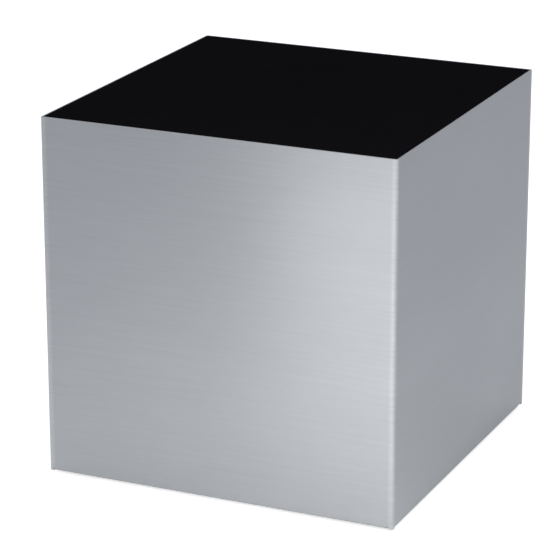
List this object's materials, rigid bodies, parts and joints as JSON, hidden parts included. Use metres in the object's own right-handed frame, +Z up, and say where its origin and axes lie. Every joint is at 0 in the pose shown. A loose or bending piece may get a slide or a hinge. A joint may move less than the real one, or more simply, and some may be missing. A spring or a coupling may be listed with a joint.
{
  "type": "cube side table",
  "caption": "Cube side table: brushed stainless steel box, open below, with a flush matte black drop-in top and levelling feet.",
  "frame": {"origin": "on the floor, under the middle of the table", "axes": "+Z up, the front wall faces -Y and the right wall faces +X; the two folded corners are front right and rear left"},
  "size_m": [0.4, 0.4, 0.4],
  "materials": {
    "stainless_shell": "horizontal brushed grain, satin",
    "stainless_inner": "mill finish, dull",
    "black_laminate": "deep matte black, fine even texture",
    "zinc_plated": "bright zinc plate",
    "weld_stud": "copper flashed",
    "black_nylon": "moulded, satin",
    "sole_rubber": "matte, finely ribbed",
    "clear_pad": "clear soft polyurethane"
  },
  "bodies": {
    "cabinet": {"bracket_nuts": "zinc_plated", "bracket_studs": "weld_stud", "bumper_front_1": "clear_pad", "bumper_front_2": "clear_pad", "bumper_left_1": "clear_pad", "bumper_left_2": "clear_pad", "bumper_rear_1": "clear_pad", "bumper_rear_2": "clear_pad", "bumper_right_1": "clear_pad", "bumper_right_2": "clear_pad", "corner_bracket_front_left": "zinc_plated", "corner_bracket_front_right": "zinc_plated", "corner_bracket_rear_left": "zinc_plated", "corner_bracket_rear_right": "zinc_plated", "front_shell": "stainless_shell", "ledge_front": "stainless_inner", "ledge_left": "stainless_inner", "ledge_nuts": "zinc_plated", "ledge_rear": "stainless_inner", "ledge_right": "stainless_inner", "ledge_studs": "weld_stud", "rear_shell": "stainless_shell", "seam_angle_left": "stainless_inner", "seam_angle_right": "stainless_inner", "seam_nuts": "zinc_plated", "seam_studs": "weld_stud", "weld_nut_front_left": "zinc_plated", "weld_nut_front_right": "zinc_plated", "weld_nut_rear_left": "zinc_plated", "weld_nut_rear_right": "zinc_plated"},
    "top": {"top_panel": "black_laminate"},
    "foot_front_left": {"foot_base_front_left": "black_nylon", "foot_sole_front_left": "sole_rubber"},
    "stud_front_left": {"foot_stud_front_left": "zinc_plated"},
    "foot_front_right": {"foot_base_front_right": "black_nylon", "foot_sole_front_right": "sole_rubber"},
    "stud_front_right": {"foot_stud_front_right": "zinc_plated"},
    "foot_rear_right": {"foot_base_rear_right": "black_nylon", "foot_sole_rear_right": "sole_rubber"},
    "stud_rear_right": {"foot_stud_rear_right": "zinc_plated"},
    "foot_rear_left": {"foot_base_rear_left": "black_nylon", "foot_sole_rear_left": "sole_rubber"},
    "stud_rear_left": {"foot_stud_rear_left": "zinc_plated"}
  },
  "joints": [
    {"name": "top_lift", "type": "slide", "parent": "cabinet", "child": "top", "axis": [0, 0, 1], "range_m": [0, 0.1]},
    {"name": "foot_drop_front_left", "type": "slide", "parent": "cabinet", "child": "foot_front_left", "axis": [0, 0, -1], "range_m": [0, 0.0121]},
    {"name": "foot_turn_front_left", "type": "hinge", "parent": "foot_front_left", "child": "stud_front_left", "pos_m": [-0.165, -0.165, 0.03], "axis": [0, 0, -1], "range_deg": [0, 3456]},
    {"name": "foot_drop_front_right", "type": "slide", "parent": "cabinet", "child": "foot_front_right", "axis": [0, 0, -1], "range_m": [0, 0.0121]},
    {"name": "foot_turn_front_right", "type": "hinge", "parent": "foot_front_right", "child": "stud_front_right", "pos_m": [0.165, -0.165, 0.03], "axis": [0, 0, -1], "range_deg": [0, 3456]},
    {"name": "foot_drop_rear_right", "type": "slide", "parent": "cabinet", "child": "foot_rear_right", "axis": [0, 0, -1], "range_m": [0, 0.0121]},
    {"name": "foot_turn_rear_right", "type": "hinge", "parent": "foot_rear_right", "child": "stud_rear_right", "pos_m": [0.165, 0.165, 0.03], "axis": [0, 0, -1], "range_deg": [0, 3456]},
    {"name": "foot_drop_rear_left", "type": "slide", "parent": "cabinet", "child": "foot_rear_left", "axis": [0, 0, -1], "range_m": [0, 0.0121]},
    {"name": "foot_turn_rear_left", "type": "hinge", "parent": "foot_rear_left", "child": "stud_rear_left", "pos_m": [-0.165, 0.165, 0.03], "axis": [0, 0, -1], "range_deg": [0, 3456]}
  ],
  "couplings": [
    {"joint": "foot_drop_front_left", "follows": "foot_turn_front_left", "m_per_rad": 0.00019894},
    {"joint": "foot_drop_front_right", "follows": "foot_turn_front_right", "m_per_rad": 0.00019894},
    {"joint": "foot_drop_rear_right", "follows": "foot_turn_rear_right", "m_per_rad": 0.00019894},
    {"joint": "foot_drop_rear_left", "follows": "foot_turn_rear_left", "m_per_rad": 0.00019894}
  ]
}
